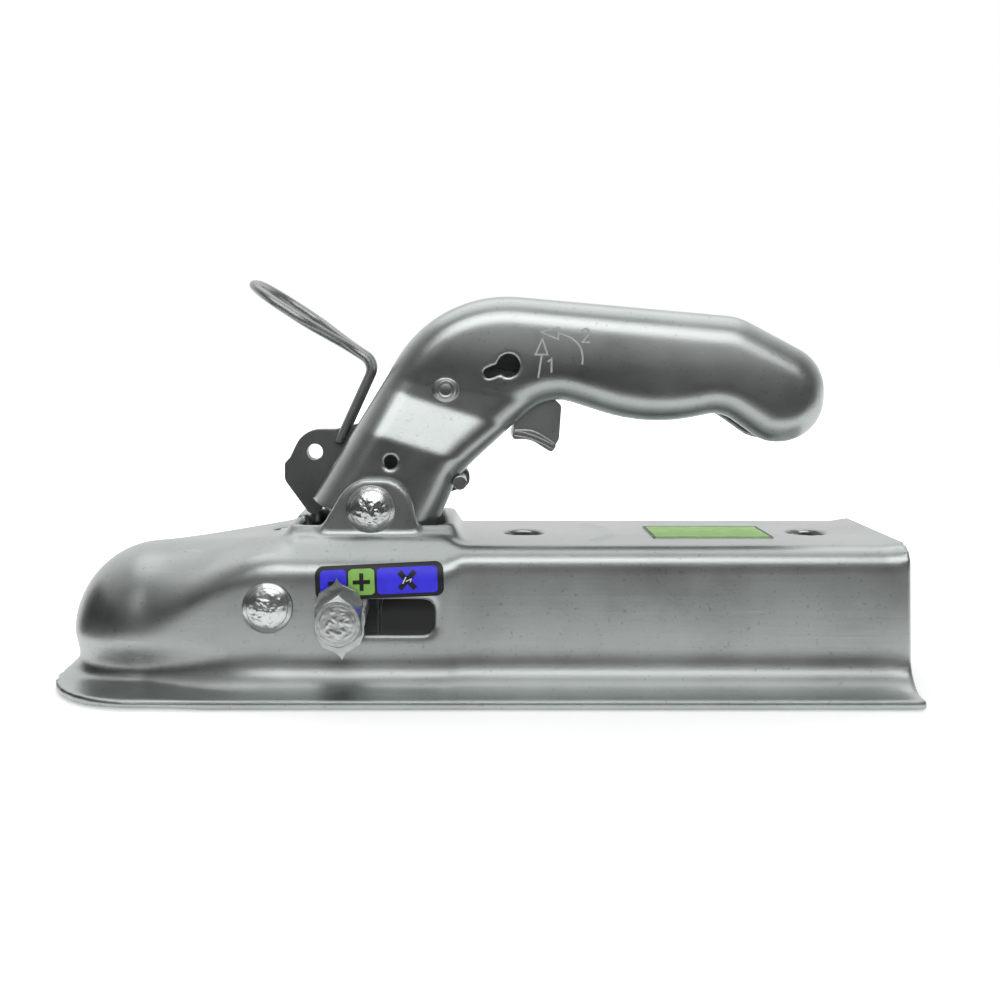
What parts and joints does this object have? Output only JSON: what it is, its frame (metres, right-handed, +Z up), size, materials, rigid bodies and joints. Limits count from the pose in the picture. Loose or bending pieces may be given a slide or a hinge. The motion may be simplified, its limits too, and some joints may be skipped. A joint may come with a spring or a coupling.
{
  "type": "trailer coupling head",
  "caption": "Pressed-steel ball coupling head for a square drawbar, with a lever handle, safety catch, clamp jaw and wear pointer.",
  "frame": {"origin": "centre of the seated tow ball", "axes": "+X along the drawbar to the rear, +Z up through the drawbar bolt holes, the wear pointer on the -Y side"},
  "size_m": [0.2668, 0.0975, 0.13],
  "materials": {
    "zinc_sheet": "zinc plated, satin",
    "zinc_fastener": "zinc plated",
    "bare_steel": "turned",
    "dark_zinc": "dull zinc",
    "spring_steel": "drawn wire",
    "wire": "zinc plated wire",
    "cast_jaw": "cast",
    "wear_label": "printed film",
    "top_label": "printed film"
  },
  "bodies": {
    "frame": {"housing": "zinc_sheet", "pivot_rivet": "zinc_fastener", "pivot_bush": "bare_steel", "guide_rivet": "zinc_fastener", "guide_sleeve": "bare_steel", "spring_seat": "dark_zinc", "closing_spring": "spring_steel", "wear_label": "wear_label", "top_label": "top_label"},
    "lever": {"handle": "zinc_sheet", "inner_lever": "dark_zinc", "stop_pin": "zinc_fastener", "catch_rivet": "zinc_fastener", "catch_spring": "spring_steel"},
    "catch": {"pawl_plate": "dark_zinc", "trigger": "dark_zinc", "trigger_pin": "zinc_fastener", "wire_loop": "wire"},
    "jaw": {"clamp_jaw": "cast_jaw", "indicator_bolt": "zinc_fastener", "pointer_washer": "zinc_fastener", "plain_washer": "zinc_fastener", "lock_nut": "zinc_fastener", "bolt_spacers": "bare_steel"}
  },
  "joints": [
    {"name": "lever_pivot", "type": "hinge", "parent": "frame", "child": "lever", "pos_m": [0.0705, 0, 0.0414], "axis": [0, -1, 0], "range_deg": [0, 40], "stiffness_Nm_per_rad": 1, "springref_deg": -17.19, "deforming": ["closing_spring"]},
    {"name": "catch_pivot", "type": "hinge", "parent": "lever", "child": "catch", "pos_m": [0.0941, 0, 0.0791], "axis": [0, -1, 0], "range_deg": [0, 8], "stiffness_Nm_per_rad": 0.4, "springref_deg": -11.46, "deforming": ["catch_spring"]},
    {"name": "jaw_slide", "type": "slide", "parent": "frame", "child": "jaw", "axis": [1, 0, 0], "range_m": [0, 0.023]}
  ],
  "couplings": [
    {"joint": "jaw_slide", "follows": "lever_pivot", "m_per_rad": 0.0329}
  ]
}
